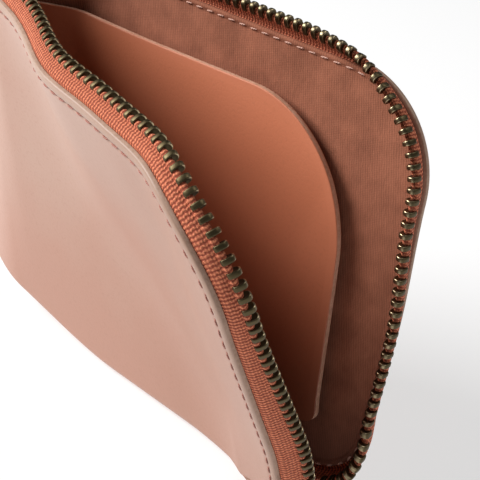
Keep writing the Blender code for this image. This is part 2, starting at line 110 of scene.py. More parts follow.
SIDE_END = CORNER_END + HEIGHT - TOP_RADIUS - BOTTOM_RADIUS
EDGE_LENGTH = SIDE_END + BOTTOM_RADIUS * QUARTER
TAPE_END = ZIP_END + 3.2 * MM

# Detail that only the looks have: the hide's edge and its sewn end
RIM_WIDTH = 1.8 * MM  # the burnished edge is rounded over this width
RIM_DROP = 0.65 * MM
RIM_FADE = 3 * MM  # at the fold's end the rounding starts as if the edge were this much further off
CHAMFER = 0.2 * MM
RIM_STEPS = MM * np.array([0, 0.06, 0.14, 0.26, 0.42, 0.65, 0.95, 1.3, 1.6, 1.8, 1.95, 2.1, 2.25, 2.4,
                           2.6, 2.9, 3.5, 4.5, 6, 8])  # distances of a sheet's rows from its edge
END_STEPS = RIM_STEPS[RIM_STEPS < 3 * MM]
POCKET_STEPS = RIM_STEPS[RIM_STEPS < 2.5 * MM]
SEAM_WIDTH = 1.6 * MM  # the panels touch over this width at the sewn end
JOIN_GAP = 0.01 * MM
SHARP_ANGLE = math.radians(50)

# The front panel's bend and swelling
BEND_SPREAD = 16 * MM  # the leather's bend is spread this far to each side of the bend line
FLAP_BOW = 2.6 * MM  # the flap bows out this far at the place given along its top, over that width
BOW_PLACE = 60 * MM
BOW_WIDTH = 14 * MM
FLAP_DIP = 1.2 * MM  # and is drawn in this far before its corner
DIP_PLACE = 95 * MM
DIP_WIDTH = 10 * MM
WAVE_FOOT = 30 * MM  # both start at this height, and are full after this much more
WAVE_RISE = 50 * MM
SIDE_EASE = 0.45 * MM  # its zip side stands out this far, up to this height, then fades over this much
SIDE_EASE_TOP = 60 * MM
SIDE_EASE_FADE = 20 * MM
FOOT_BULGE = 2.4 * MM  # it swells out this far by the fold's end, over this run and up to this height
FOOT_BULGE_RUN = 22 * MM
FOOT_BULGE_TOP = 30 * MM
FOLD_RUN_ON = 6 * MM  # the fold runs on this far under the lower corner
FOLD_END_LEAST = 0.01  # least square of the share of its depth that its rounded end keeps

# The back panel's zip side
SIDE_SWELL = 1.45 * MM  # it swells out this far, up to this height, then fades over this much
SIDE_SWELL_TOP = 40 * MM
SIDE_SWELL_FADE = 30 * MM
FOOT_PUSH = 1.8 * MM  # the lower corner is pushed out by this much, both along and down

# Tapes, teeth and stops
CORNER_SETBACK = 1.25 * MM  # the back tape is sewn this much further in round the corner
SETBACK_RISE = 14 * MM
SETBACK_FALL = 30 * MM
BACK_SIDE_CURL = math.radians(82)
BACK_FOOT_CURL = math.radians(80)
TAPE_STRETCH = 0.45  # at its foot each tape shows this share more of its width, over these spans
FRONT_STRETCH_SPAN = (125 * MM, 178 * MM)
BACK_STRETCH_SPAN = (160 * MM, 192 * MM)
TAPE_PAD = 0.27 * MM  # the tape thickens this much to meet the hide
TAPE_SEWN = 5.5 * MM  # width of the tape that lies under the hide, and of its free part
TAPE_FREE = 3 * MM
CORD_RADIUS = 0.62 * MM
CORD_SWELL = 0.2 * MM  # the corded edge swells this much between the teeth
CORD_SETBACK = 0.25 * MM
CORD_LEAD = 0.4 * MM
TOOTH_NOSE = 1.6 * MM  # a tooth reaches this far ahead of its middle, and its heel this far back
TOOTH_HEEL = 1.0 * MM
TOOTH_SHIFT = 0.1 * MM
TOOTH_HALF_HEIGHT = 1.1 * MM
TOOTH_CORE = 0.25 * MM  # its faces draw in round this point
NOSE_TAPER = 0.4  # share of its height that it loses at its nose
STOP_HALF_WIDTH = 1.15 * MM
STOP_GAP = 0.05 * MM

# Threads
STITCH_INSET = 2.1 * MM
BACK_STITCH_INSET = 1.5 * MM
STITCH_GROOVE = 0.3 * MM
GROOVE_WIDTH = 0.3 * MM
STITCH_PITCH = 3.1 * MM
STITCH_LENGTH = 2.35 * MM
STITCH_MARGIN = 6 * MM  # a seam starts this far from a panel's end
END_MARGIN = 5 * MM
STITCH_SLANT = 0.12 * MM
THREAD = 0.2 * MM
THREAD_REST = 0.09 * MM  # a thread stands this far out of its groove
THREAD_RISE = 0.2 * MM  # its middle rises this far, and its ends sink this far
THREAD_SINK = 0.22 * MM

# Lining and pocket
LINING_INSET = 0.5 * MM
HEM_WIDTH = 1.1 * MM
HEM_RISE = 0.45 * MM
HEM_SINK = 0.75 * MM  # the inner stitches move this far into the hem past the corner
POCKET_LEATHER = 1.5 * MM
POCKET_FOOT_RADIUS = 4 * MM  # the pocket's lower corner is rounded, and stands this far above the foot
POCKET_FOOT_RISE = 9.5 * MM
POCKET_FALL = 2.6 * MM  # its top falls this far towards the sewn end
POCKET_STAND_OFF = 1.9 * MM  # its free edges stand this far off the lining

# Pitches of the weaves and of the thread's twist, in mm
WEAVE_PITCH = 0.77
WEAVE_COLUMN = 0.5
TWILL_RIDGE = 0.56
TWILL_CROSS = 0.36
PLY_PITCH = 0.55

# The floor's half width in metres, and its glow
FLOOR_HALF = 3.0
FLOOR_GLOW = 0.52

# The camera, fitted to the photo's teeth, edges and fold
IMAGE_SIZE = 480
FOCAL_PIXELS = 1071.66
SENSOR = 36
AZIMUTH = math.radians(40.74)
ELEVATION = math.radians(32.76)
ROLL = math.radians(4.18)
CAMERA = Vector((130.7, -140.3, 172.6)) * MM


def ease(t):
    """Smooth step from 0 to 1: three times the square, less twice the cube."""
    t = np.clip(t, 0, 1)
    return t * t * (3 - 2 * t)


def half_width(u):
    """Centre plane to the outer face at the fold line: a quarter sine up from the sewn end."""
    return SEAM_HALF + (HALF_WIDTH - SEAM_HALF) * np.sin(np.clip(u / END_TAPER, 0, 1) * QUARTER)


def end_lift(u):
    """Height by which the fold climbs towards the sewn end: a smooth step down to nothing over its span."""
    return END_RISE * (1 - ease(u / RISE_SPAN))


def panel(u, w, depth, side):
    """Point of the back panel, or of the unbent front panel.

    The height leans out from the fold line, by an angle that comes in as a smooth step from the sewn end,
    and the depth runs square to it. The fold's climb fades evenly with the height.
    """
    u, w, depth = np.broadcast_arrays(u, w, depth)
    lean = (BACK_LEAN if side == BACK else FRONT_LEAN) * ease(u / LEAN_TAPER)
    y = side * (half_width(u) + w * np.sin(lean) - depth * np.cos(lean))
    lift = end_lift(u) * np.clip(1 - w / HEIGHT, 0, None)
    z = FOLD_LINE + w * np.cos(lean) + depth * np.sin(lean) + lift
    return np.stack([u - ORIGIN_U, y, z], axis=-1)


def bend_line():
    """Upper end and direction of the flap's bend line, at the middle of the leather."""
    upper = panel(FLAP_START, HEIGHT, LEATHER / 2, FRONT)
    lower = panel(FOLD_LENGTH, FLAP_FOOT, LEATHER / 2, FRONT)
    return upper, (lower - upper) / np.linalg.norm(lower - upper)


def bend_distance(u, w):
    """Distance in the flat panel from the bend line, positive on the flap.

    It is the cross product of the line and the way from its upper end, over the line's length.
    """
    run = FOLD_LENGTH - FLAP_START
    fall = HEIGHT - FLAP_FOOT
    return ((u - FLAP_START) * fall + (w - HEIGHT) * run) / math.hypot(run, fall)


def front_swell(u, w):
    """Swelling of the front panel.

    Bells out and in along its top, a smooth step by the zip, and the square of the way to the fold's end.
    """
    way = np.clip((u - FOLD_LENGTH + FOOT_BULGE_RUN) / FOOT_BULGE_RUN, 0, 1)
    foot = FOOT_BULGE * way ** 2 * (1 - ease(w / FOOT_BULGE_TOP))
    wave = FLAP_BOW * np.exp(-((u - BOW_PLACE) / BOW_WIDTH) ** 2)
    wave = wave - FLAP_DIP * np.exp(-((u - DIP_PLACE) / DIP_WIDTH) ** 2)
    side = SIDE_EASE * ease((u - DIP_PLACE) / DIP_WIDTH) * (1 - ease((w - SIDE_EASE_TOP) / SIDE_EASE_FADE))
    return wave * ease((w - WAVE_FOOT) / WAVE_RISE) + side + foot


def front(u, w, depth):
    """Front panel, turned about the bend line by the flap's angle times a smooth step across the bend.

    A bump, the square of the share of the way across times what is left of it, makes the bend even.
    """
    u, w, depth = np.broadcast_arrays(u, w, depth)
    flat = panel(u, w, depth, FRONT)
    share = np.clip(bend_distance(u, w) / (2 * BEND_SPREAD) + 0.5, 0, 1)
    flat[..., 1] -= front_swell(u, w) + 3 * FLAP_ANGLE * BEND_SPREAD * (share * (1 - share)) ** 2
    start, axis = bend_line()
    angle = FLAP_ANGLE * ease(share)[..., None]
    arm = flat - start
    along = (arm @ axis)[..., None] * axis
    return start + arm * np.cos(angle) + np.cross(axis, arm) * np.sin(angle) + along * (1 - np.cos(angle))


def back(u, w, depth):
    """Point of the back panel, whose zip side swells out below the corner: a smooth step each way.

    Its lower corner is pushed out by the product of the distances into the corner's square.
    """
    fade = 1 - ease((w - SIDE_SWELL_TOP) / SIDE_SWELL_FADE)
    swell = SIDE_SWELL * ease((u - FOLD_LENGTH) / BOTTOM_RADIUS) * fade
    across = np.clip((u - FOLD_LENGTH) / BOTTOM_RADIUS, 0, None)
    below = np.clip(1 - w / BOTTOM_RADIUS, 0, None)
    push = FOOT_PUSH * 2 * across * below
    return panel(u + swell + push, w - push, depth, BACK)


def fold(u, turn, depth):
    """Fold under the panels: half an ellipse about the fold line, pressed flat where it stands.

    Past the fold's end its depth falls off as a quarter circle.
    """
    u, turn, depth = np.broadcast_arrays(u, turn, depth)
    y = -(half_width(u) - depth) * np.cos(turn) - front_swell(u, 0 * u) * np.cos(turn / 2) ** 2
    past = np.clip((u - FOLD_LENGTH) / FOLD_RUN_ON, 0, 1)
    end = np.sqrt(np.clip(1 - past ** 2, FOLD_END_LEAST, 1))
    z = FOLD_LINE - (FOLD_DEPTH - depth) * np.sin(turn) * end
    return np.stack([u - ORIGIN_U, y, np.maximum(z, 0) + end_lift(u)], axis=-1)


def top_line(u, inset):
    """Height of a panel's upper edge: level, then a quarter circle round the zip corner."""
    across = np.clip(u - CORNER_START, 0, TOP_RADIUS - inset)
    return HEIGHT - TOP_RADIUS + np.sqrt((TOP_RADIUS - inset) ** 2 - across ** 2)


def low_line(u, inset):
    """Height of a panel's lower edge: the fold line, then a quarter circle round the lower corner."""
    across = np.clip(u - FOLD_LENGTH, 0, BOTTOM_RADIUS - inset)
    return np.where(u > FOLD_LENGTH, BOTTOM_RADIUS - np.sqrt((BOTTOM_RADIUS - inset) ** 2 - across ** 2), 0)


def rim_distance(u, w):
    """Distance inside a panel's free edge, from the arcs in its rounded corners.

    Beside the fold's end a smooth step adds to it, so that the edge's rounding fades in.
    """
    straight = np.minimum(LENGTH - u, HEIGHT - w)
    upper = TOP_RADIUS - np.hypot(u - CORNER_START, w - HEIGHT + TOP_RADIUS)
    lower = BOTTOM_RADIUS - np.hypot(u - FOLD_LENGTH, w - BOTTOM_RADIUS)
    lower = lower + RIM_FADE * (1 - ease((u - FOLD_LENGTH) / FOLD_RUN_ON))
    in_upper = (u > CORNER_START) & (w > HEIGHT - TOP_RADIUS)
    in_lower = (u > FOLD_LENGTH) & (w < BOTTOM_RADIUS)
    return np.where(in_upper, upper, np.where(in_lower, lower, straight))


def edge_point(along):
    """Place and outward direction on a panel's zip edge, by distance along it from the sewn end.

    It runs straight along the top and down the side, with a quarter circle round each corner.
    """
    corner = np.clip((along - CORNER_START) / TOP_RADIUS, 0, QUARTER)
    lower = np.clip((along - SIDE_END) / BOTTOM_RADIUS, 0, QUARTER)
    turn = corner + lower
    u = np.minimum(along, CORNER_START) + TOP_RADIUS * np.sin(corner) - BOTTOM_RADIUS * (1 - np.cos(lower))
    side = np.clip(along - CORNER_END, 0, SIDE_END - CORNER_END)
    w = HEIGHT - TOP_RADIUS * (1 - np.cos(corner)) - side - BOTTOM_RADIUS * np.sin(lower)
    return u, w, np.sin(turn), np.cos(turn)


def curl(along, side):
    """Angle by which a tape turns in from its panel's plane, smooth steps between the stretches' angles."""
    if side == FRONT:
        share = ease((along - FRONT_CURL_FROM) / (FRONT_CURL_TO - FRONT_CURL_FROM))
        angle = END_CURL + (FRONT_CURL - END_CURL) * share
    else:
        middle = (CORNER_START + CORNER_END) / 2
        lead = CORNER_START - BACK_CURL_LEAD
        rise = (BACK_CORNER_CURL - BACK_TOP_CURL) * ease((along - lead) / (middle - lead))
        drop = (BACK_SIDE_CURL - BACK_CORNER_CURL) * ease((along - middle) / (SIDE_END - middle))
        angle = BACK_TOP_CURL + rise + drop
    foot = FOOT_CURL if side == FRONT else BACK_FOOT_CURL
    return angle + (foot - angle) * ease((along - SIDE_END) / (EDGE_LENGTH - SIDE_END))


def tape_setback(along, side):
    """Distance of a tape's turn inside the hide's edge.

    Round the back's zip corner it has more, by a smooth step up times a smooth step down.
    """
    if side == FRONT:
        return TAPE_SETBACK
    rise = ease((along - CORNER_START) / SETBACK_RISE)
    fall = 1 - ease((along - CORNER_END) / SETBACK_FALL)
    return TAPE_SETBACK + CORNER_SETBACK * rise * fall


def tape_profile(along, side, reach):
    """Offset, depth and turn of a tape's middle: flat, then an arc of the curl's angle, then straight.

    Its free width is stretched by a smooth step towards the foot.
    """
    angle = curl(along, side)
    begin, full = FRONT_STRETCH_SPAN if side == FRONT else BACK_STRETCH_SPAN
    reach = reach + TAPE_STRETCH * np.maximum(reach, 0) * ease((along - begin) / (full - begin))
    turned = np.clip(reach / TAPE_TURN_RADIUS, 0, angle)
    straight = np.maximum(reach - TAPE_TURN_RADIUS * angle, 0)
    offset = np.minimum(reach, 0) + TAPE_TURN_RADIUS * np.sin(turned) + straight * np.cos(angle)
    depth = TAPE_TURN_RADIUS * (1 - np.cos(turned)) + straight * np.sin(angle)
    return offset - tape_setback(along, side), depth + TAPE_DEPTH, turned


def zip_point(along, side, offset, depth):
    """Point at an offset out from a panel's zip edge, and a depth in from the hide's outer face."""
    u, w, out_u, out_w = edge_point(along)
    place = back if side == BACK else front
    return place(u + out_u * offset, w + out_w * offset, depth)


def tape_point(along, side, reach, lift):
    """Point at a reach along a tape's width, lifted square off its middle towards the inside."""
    offset, depth, angle = tape_profile(along, side, reach)
    return zip_point(along, side, offset - lift * np.sin(angle), depth + lift * np.cos(angle))


def row_point(along, centre, side, ahead, up):
    """Point beside a tape's corded edge: ahead along its width and up off its face, as at centre."""
    offset, depth, angle = tape_profile(centre, side, np.full_like(centre, TAPE_REACH))
    out = offset + ahead * np.cos(angle) - up * np.sin(angle)
    into = depth + ahead * np.sin(angle) + up * np.cos(angle)
    return zip_point(along, side, out, into)


def rounding(distance, width, drop):
    """Depth by which an edge is rounded off: a quarter ellipse of that width and drop."""
    inside = np.clip(distance / width, 0, 1)
    return drop * (1 - np.sqrt(1 - (1 - inside) ** 2))


def hide_rim(u, w):
    """Distance inside a hide panel's nearest edge: the lesser of the free edge's and the sewn end's."""
    return np.minimum(rim_distance(u, w), u)


def hide_face(u, w):
    """Depth of the hide's outer face: rounded at its edge, with a bell-shaped groove under the stitches."""
    rim = hide_rim(u, w)
    groove = STITCH_GROOVE * np.exp(-((rim - STITCH_INSET) / GROOVE_WIDTH) ** 2)
    return rounding(rim, RIM_WIDTH, RIM_DROP) + groove


def hide_flesh(u, w):
    """Depth of the hide's inner face, which thickens by a smooth step to meet the other at the sewn end."""
    thin = LEATHER - rounding(rim_distance(u, w), CHAMFER, CHAMFER)
    lean = BACK_LEAN * ease(u / LEAN_TAPER)
    meeting = half_width(u) + w * np.sin(lean) + JOIN_GAP
    return meeting + (thin - meeting) * ease((u - SEAM_WIDTH) / SEAM_WIDTH)


def panel_columns(start, count, corner_count):
    """Distances along a panel: the edge's steps, even ones, then sines of even turns round the corner."""
    turns = np.linspace(0, QUARTER, corner_count + 1)[1:]
    round_start = min(CORNER_START, FOLD_LENGTH)
    lead = start + END_STEPS
    return np.concatenate([
        lead,
        np.linspace(lead[-1], round_start, count)[1:],
        round_start + (LENGTH - round_start) * np.sin(turns),
    ])


def panel_heights(columns, inset, count):
    """Heights over a panel: close rows beside both edges and even ones between."""
    top = top_line(columns, inset)
    low = low_line(columns, inset)
    upper = top - RIM_STEPS[:, None]
    lower = low + RIM_STEPS[::-1, None]
    share = np.linspace(0, 1, count)[1:-1, None]
    middle = upper[-1] + (lower[0] - upper[-1]) * share
    return np.concatenate([upper, middle, lower])


def attach(name, points, faces, place, materials, slots=None):
    """Mesh object from arrays: faces turned outwards, smooth shading, and the piece's own place in mm."""
    mesh = bpy.data.meshes.new(name)
    mesh.from_pydata(points.tolist(), [], [face for group in faces for face in group.tolist()])
    coordinates = mesh.attributes.new("place", "FLOAT_VECTOR", "POINT")
    coordinates.data.foreach_set("vector", (place / MM).astype(np.float32).ravel())
    for material in materials:
        mesh.materials.append(material)
    if slots is not None:
        mesh.polygons.foreach_set("material_index", slots.astype(np.int32))
    work = bmesh.new()
    work.from_mesh(mesh)
    bmesh.ops.recalc_face_normals(work, faces=work.faces)
    work.to_mesh(mesh)
    work.free()
    mesh.shade_smooth()
    mesh.set_sharp_from_angle(angle=SHARP_ANGLE)
    thing = bpy.data.objects.new(name, mesh)
    bpy.context.scene.collection.objects.link(thing)
    return thing


def closed_sheet(name, outer, inner, u, w, rim, materials):
    """Closed sheet between two grids. Points that aren't numbers are left out.

    The outer face takes the first material, the inner face the second and the walls the last.
    """
    shape = outer.shape[:2]
    present = np.isfinite(outer).all(axis=-1)
    count = int(present.sum())
    index = np.full(shape, -1)
    index[present] = np.arange(count)
    corners = np.stack([index[:-1, :-1], index[:-1, 1:], index[1:, 1:], index[1:, :-1]], axis=-1)
    corners = corners.reshape(-1, 4)
    corners = corners[(corners >= 0).all(axis=1)]
    starts = corners.ravel()
    ends = np.roll(corners, -1, axis=1).ravel()
    open_edge = ~np.isin(starts * count + ends, ends * count + starts)
    a = starts[open_edge]
    b = ends[open_edge]
    walls = np.stack([b, a, a + count, b + count], axis=1)
    under = corners[:, ::-1] + count
    spots = np.stack([np.broadcast_to(part, shape)[present] for part in (u, w, rim)], axis=-1)
    place = np.concatenate([spots, spots])
    points = np.concatenate([outer[present], inner[present]])
    slots = np.repeat([0, 1, 2], [len(corners), len(under), len(walls)]).clip(0, len(materials) - 1)
    return attach(name, points, [corners, under, walls], place, materials, slots)


def closed_tubes(name, rings, place, materials):
    """Many closed tubes in one mesh: arrays of tube, ring and side, with a fan over each end ring."""
    count, length, sides = rings.shape[:3]
    grid = np.arange(count * length * sides).reshape(count, length, sides)
    ahead = np.roll(grid, -1, axis=2)
    quads = np.stack([grid[:, :-1], ahead[:, :-1], ahead[:, 1:], grid[:, 1:]], axis=-1).reshape(-1, 4)
    first = np.broadcast_to(grid.size + np.arange(count)[:, None], (count, sides))
    last = first + count
    fan_first = np.stack([first, ahead[:, 0], grid[:, 0]], axis=-1).reshape(-1, 3)
    fan_last = np.stack([last, grid[:, -1], ahead[:, -1]], axis=-1).reshape(-1, 3)
    points, spots = (
        np.concatenate([part.reshape(-1, 3), part[:, 0].mean(axis=1), part[:, -1].mean(axis=1)])
        for part in (rings, place)
    )
    return attach(name, points, [quads, fan_first, fan_last], spots, materials)


class Wire:
    """Output of a node, which sums, differences and products turn into Math nodes."""

    def __init__(self, tree, socket=None):
        self.tree = tree
        self.socket = socket

    def node(self, kind, settings, inputs, output=None):
        """Add a node: its type, its settings, and values or links for its inputs. Gives an output."""
        made = self.tree.nodes.new(kind)
        for key, value in settings.items():
            setattr(made, key, value)
        for key, value in inputs.items():
            if isinstance(value, Wire):
                self.tree.links.new(value.socket, made.inputs[key])
            else:
                made.inputs[key].default_value = value
        shown = [socket for socket in made.outputs if socket.enabled]
        return Wire(self.tree, made.outputs[output] if output else shown[0]) if shown else made

    def math(self, operation, *values):
        """Math node of that operation."""
        return self.node("ShaderNodeMath", {"operation": operation}, dict(enumerate(values)))

    def __add__(self, other):
        return self.math("ADD", self, other)

    def __radd__(self, other):
        return self.math("ADD", other, self)

    def __sub__(self, other):
        return self.math("SUBTRACT", self, other)

    def __rsub__(self, other):
        return self.math("SUBTRACT", other, self)

    def __mul__(self, other):
        return self.math("MULTIPLY", self, other)

    def __rmul__(self, other):
        return self.math("MULTIPLY", other, self)

    def sine(self):
        """Sine of this value, in radians."""
        return self.math("SINE", self)

    def ramp(self, low, high):
        """Smooth step of this value from 0 at low to 1 at high."""
        settings = {"interpolation_type": "SMOOTHSTEP"}
        return self.node("ShaderNodeMapRange", settings, {0: self, 1: low, 2: high})

    def between(self, first, second):
        """Colour that goes from the first to the second as this value goes from 0 to 1."""
        colours = [value if isinstance(value, Wire) else (*value, 1) for value in (first, second)]
        return self.node("ShaderNodeMix", {"data_type": "RGBA"}, {0: self, 6: colours[0], 7: colours[1]})


def surface(name, **constants):
    """New Principled material, the wire that starts its nodes, and a function that links varying inputs."""
    material = bpy.data.materials.new(name)
    material.use_nodes = True
    tree = material.node_tree
    shader = tree.nodes["Principled BSDF"]
    for key, value in constants.items():
        shader.inputs[key.replace("_", " ")].default_value = value

    def link(**inputs):
        for key, value in inputs.items():
            tree.links.new(value.socket, shader.inputs[key.replace("_", " ")])

    return material, Wire(tree), link


def own_place(start):
    """The piece's own coordinates in mm, as a vector and as three wires."""
    vector = start.node("ShaderNodeAttribute", {"attribute_name": "place"}, {}, "Vector")
    split = start.node("ShaderNodeSeparateXYZ", {}, {0: vector})
    parts = [Wire(start.tree, socket) for socket in split.socket.node.outputs]
    return vector, parts


def noise(start, vector, scale, detail=3.0, roughness=0.5):
    """Noise from 0 to 1 in the given coordinates."""
    inputs = {"Vector": vector, "Scale": scale, "Detail": detail, "Roughness": roughness}
    return start.node("ShaderNodeTexNoise", {}, inputs)


def bump(start, height, distance, strength=1.0):
    """Normal from a height field."""
    return start.node("ShaderNodeBump", {}, {"Height": height, "Distance": distance, "Strength": strength})


def object_place(start):
    """Object coordinates in metres."""
    return start.node("ShaderNodeTexCoord", {}, {}, "Object")


def leather_finish(name, light, dark, edge, roughness, deep, groove_shade, side_shade):
    """Smooth hide: cloudy tone painted lighter towards the top, fine pores, a satin face, a greyed edge, a
    painted shade line in the stitch groove, and painted shade at the foot.

    It is painted darker and browner along its length as painted shade: the last argument says where that
    starts, where it is full, and how strong it is.
    """
    material, start, link = surface(name, Coat_Roughness=0.3, Coat_Weight=0.12)
    spot = object_place(start)
    _, (u, w, rim) = own_place(start)
    cloud = noise(start, spot, 24.0, 3.0)
    pores = noise(start, spot, 1500.0, 2.0)
    cells = {"Vector": spot, "Scale": 900.0}
    grain = start.node("ShaderNodeTexVoronoi", {"feature": "DISTANCE_TO_EDGE"}, cells)
    # The height term makes the tone lighter towards the top: painted light.
    tone = (cloud + (w - 40.0) * 0.005).ramp(0.2, 0.9).between(dark, light)
    shade = tuple(0.82 * part for part in dark)
    mottled = (pores.ramp(0.52, 0.75) * 0.25).between(tone, shade)
    worn = (1.0 - (rim + cloud * 0.2).ramp(1.9, 2.3)) * 0.7
    # A dark line along the stitch groove, mixed in below: painted shade in the groove.
    seam = (1.0 - start.math("ABSOLUTE", rim - STITCH_INSET / MM).ramp(0.08, 0.3)) * groove_shade
    # Darker towards the foot by the given share: painted shade deep in the wallet.
    painted_deep_shade = (1.0 - w.ramp(8.0, 52.0)) * deep
    sewn = seam.between(worn.between(mottled, edge), tuple(0.45 * part for part in dark))
    # Darker and browner along the length: painted shade.
    shade_start, shade_full, depth = side_shade
    painted_side_shade = u.ramp(shade_start, shade_full) * depth
    side_shaded = painted_side_shade.between(sewn, (0.45 * dark[0], 0.3 * dark[1], 0.15 * dark[2]))
    link(Base_Color=painted_deep_shade.between(side_shaded, tuple(0.3 * part for part in dark)))
    link(Roughness=cloud * 0.12 + pores * 0.08 + roughness)
    link(Normal=bump(start, grain.ramp(0.0, 0.25) * 0.5 + pores * 0.5, 0.06 * MM, 0.3))
    return material


def raw_edge_finish(name, light, dark):
    """Cut edge or flesh side of a hide: fine fibres over a cloudy tone."""
    material, start, link = surface(name)
    spot = object_place(start)
    fibre = noise(start, spot, 1300.0, 4.0, 0.7)
    cloud = noise(start, spot, 160.0, 3.0)
    link(Base_Color=(fibre * 0.6 + cloud * 0.4).ramp(0.35, 0.65).between(dark, light))
    link(Roughness=fibre * 0.2 + 0.7)
    link(Normal=bump(start, fibre, 0.15 * MM, 0.6))
    return material


def twill_finish(name, light, dark):
    """Cotton twill: slanting ridges crossed by threads, uneven, with painted shade darkening it towards the
    fold and the sewn end.
    """
    material, start, link = surface(name)
    vector, (u, w, _) = own_place(start)
    wander = noise(start, vector, 0.5, 3.0)
    ridge = ((u + w * 0.25) * (FULL_TURN / TWILL_RIDGE) + wander * 5.0).sine() * 0.5 + 0.5
    drawn = start.node("ShaderNodeCombineXYZ", {}, {0: u * 2.4, 1: w * 0.35})
    slub = noise(start, drawn, 1.0, 3.0, 0.65)
    cross = ((u * 0.3 - w) * (FULL_TURN / TWILL_CROSS) + wander * 3.0).sine() * 0.5 + 0.5
    fibre = noise(start, vector, 5.0, 3.0, 0.75)
    patch = noise(start, vector, 0.16, 3.0)
    height = ridge * 0.22 + cross * 0.12 + fibre * 0.6 + slub * 0.45 - 0.1
    tone = (height * 0.7 + patch * 0.5).ramp(0.35, 1.0).between(dark, light)
    # Darker towards the fold and the sewn end: painted shade deep in the wallet.
    painted_deep_shade = (1.0 - w.ramp(2.0, 32.0) * (u.ramp(5.0, 75.0) * 0.2 + 0.8)) * 0.65
    link(Base_Color=painted_deep_shade.between(tone, tuple(0.3 * part for part in dark)))
    link(Roughness=fibre * 0.1 + 0.85)
    link(Normal=bump(start, height * 0.8 + patch * 3.0, 0.15 * MM, 0.7))
    return material


def tape_finish(name, light, dark):
    """Woven zip tape: columns of loops that slant one way and then the other, with loose fibres."""
    material, start, link = surface(name)
    vector, (along, reach, _) = own_place(start)
    wander = noise(start, vector, 1.6, 2.0)
    slant = start.math("PINGPONG", reach + 20.0, WEAVE_COLUMN)
    loop = ((along + slant * 0.35) * (FULL_TURN / WEAVE_PITCH) + wander * 4.0).sine() * 0.5 + 0.5
    across = ((reach + wander * 0.25) * (HALF_TURN / WEAVE_COLUMN)).sine()
    column = across * across
    fibre = noise(start, vector, 6.0, 3.0, 0.75)
    height = loop * (column * 0.3 + 0.4) + column * 0.1 + fibre * 0.5
    link(Base_Color=height.ramp(0.25, 0.95).between(dark, light))
    link(Roughness=fibre * 0.1 + 0.8)
    link(Normal=bump(start, height, 0.35 * MM, 0.9))
    return material


def thread_finish(name, light, dark):
    """Waxed sewing thread: two plies twisted together."""
    material, start, link = surface(name)
    vector, (along, turn, _) = own_place(start)
    ply = (along * (FULL_TURN / PLY_PITCH) + turn * 2.0).sine() * 0.5 + 0.5
    fibre = noise(start, vector, 5.0, 2.0)
    link(Base_Color=(ply * 0.75 + fibre * 0.25).between(dark, light))
    link(Roughness=fibre * 0.15 + 0.45)
    link(Normal=bump(start, ply, 0.1 * MM, 0.7))
    return material


def brass_finish(name, worn, patina):
    """Antique brass: dark patina in the hollows, rubbed bright on the rim and towards the tooth's head,
    partly wear and partly painted glints.
    """
    material, start, link = surface(name, Metallic=1.0)
    spot = object_place(start)
    blotch = noise(start, spot, 420.0, 4.0, 0.6)
    fine = noise(start, spot, 2400.0, 2.0)
    _, (ahead, _, rim) = own_place(start)
    # Head and rim brightening: partly wear and partly painted glints.
    head = ahead.ramp(1.15, 1.6) * 0.5
    rub = (rim * 0.6 + blotch * 0.6 + head).ramp(0.75, 1.3)
    link(Base_Color=rub.between(patina, worn))
    link(Roughness=0.4 - rub * 0.15 + fine * 0.1)
    link(Normal=bump(start, blotch * 0.6 + fine * 0.4, 0.05 * MM, 0.4))
    return material


def metal_finish(name, worn, patina):
    """Antique brass for the plain metal pieces: a cloudy patina with a fine grain."""
    material, start, link = surface(name, Metallic=1.0)
    spot = object_place(start)
    blotch = noise(start, spot, 260.0, 4.0, 0.6)
    fine = noise(start, spot, 2400.0, 2.0)
    rub = blotch.ramp(0.35, 0.75)
    link(Base_Color=rub.between(patina, worn))
    link(Roughness=0.4 - rub * 0.12 + fine * 0.1)
    link(Normal=bump(start, blotch * 0.5 + fine * 0.5, 0.04 * MM, 0.4))
    return material


def hide_front(materials):
    """Front of the hide and the fold, as one sheet."""
    columns = panel_columns(start=0, count=110, corner_count=30)
    heights = panel_heights(columns, inset=0, count=44)
    u = np.broadcast_to(columns, heights.shape)
    turns = np.linspace(0, HALF_TURN, 33)[1:, None]
    level = np.full((len(turns), len(columns)), HEIGHT / 2)
    grids = []
    for face in (hide_face, hide_flesh):
        bottom = fold(columns, turns, face(np.broadcast_to(columns, level.shape), level))
        bottom[columns > FOLD_LENGTH + FOLD_RUN_ON * (turns < QUARTER)] = np.nan
        grids.append(np.concatenate([front(u, heights, face(u, heights)), bottom]))
    below = -FOLD_DEPTH * np.broadcast_to(turns, level.shape)
    wide = np.concatenate([u, np.broadcast_to(columns, level.shape)])
    tall = np.concatenate([heights, below])
    rim = np.concatenate([hide_rim(u, heights), np.minimum(level, columns)])
    return closed_sheet("hide_front", *grids, wide, tall, rim, materials)


def hide_back(materials):
    """Back of the hide."""
    columns = panel_columns(start=0, count=110, corner_count=30)
    heights = np.maximum(panel_heights(columns, inset=0, count=44), JOIN_GAP)
    u = np.broadcast_to(columns, heights.shape)
    grids = [back(u, heights, face(u, heights)) for face in (hide_face, hide_flesh)]
    return closed_sheet("hide_back", *grids, u, heights, hide_rim(u, heights), materials)


def hem(u, w):
    """Rise of the lining's turned-in hem: half an ellipse beside its edge."""
    inside = (rim_distance(u, w) - LINING_INSET) / HEM_WIDTH
    return HEM_RISE * np.sqrt(np.clip(1 - (2 * inside - 1) ** 2, 0, 1))


def lining_grid():
    """Columns and heights of a lining, which ends a little inside the hide's edge."""
    columns = panel_columns(LINING_START, count=90, corner_count=24)
    narrower = (LENGTH - LINING_INSET - LINING_START) / (LENGTH - LINING_START)
    columns = LINING_START + (columns - LINING_START) * narrower
    return columns, panel_heights(columns, LINING_INSET, count=36)


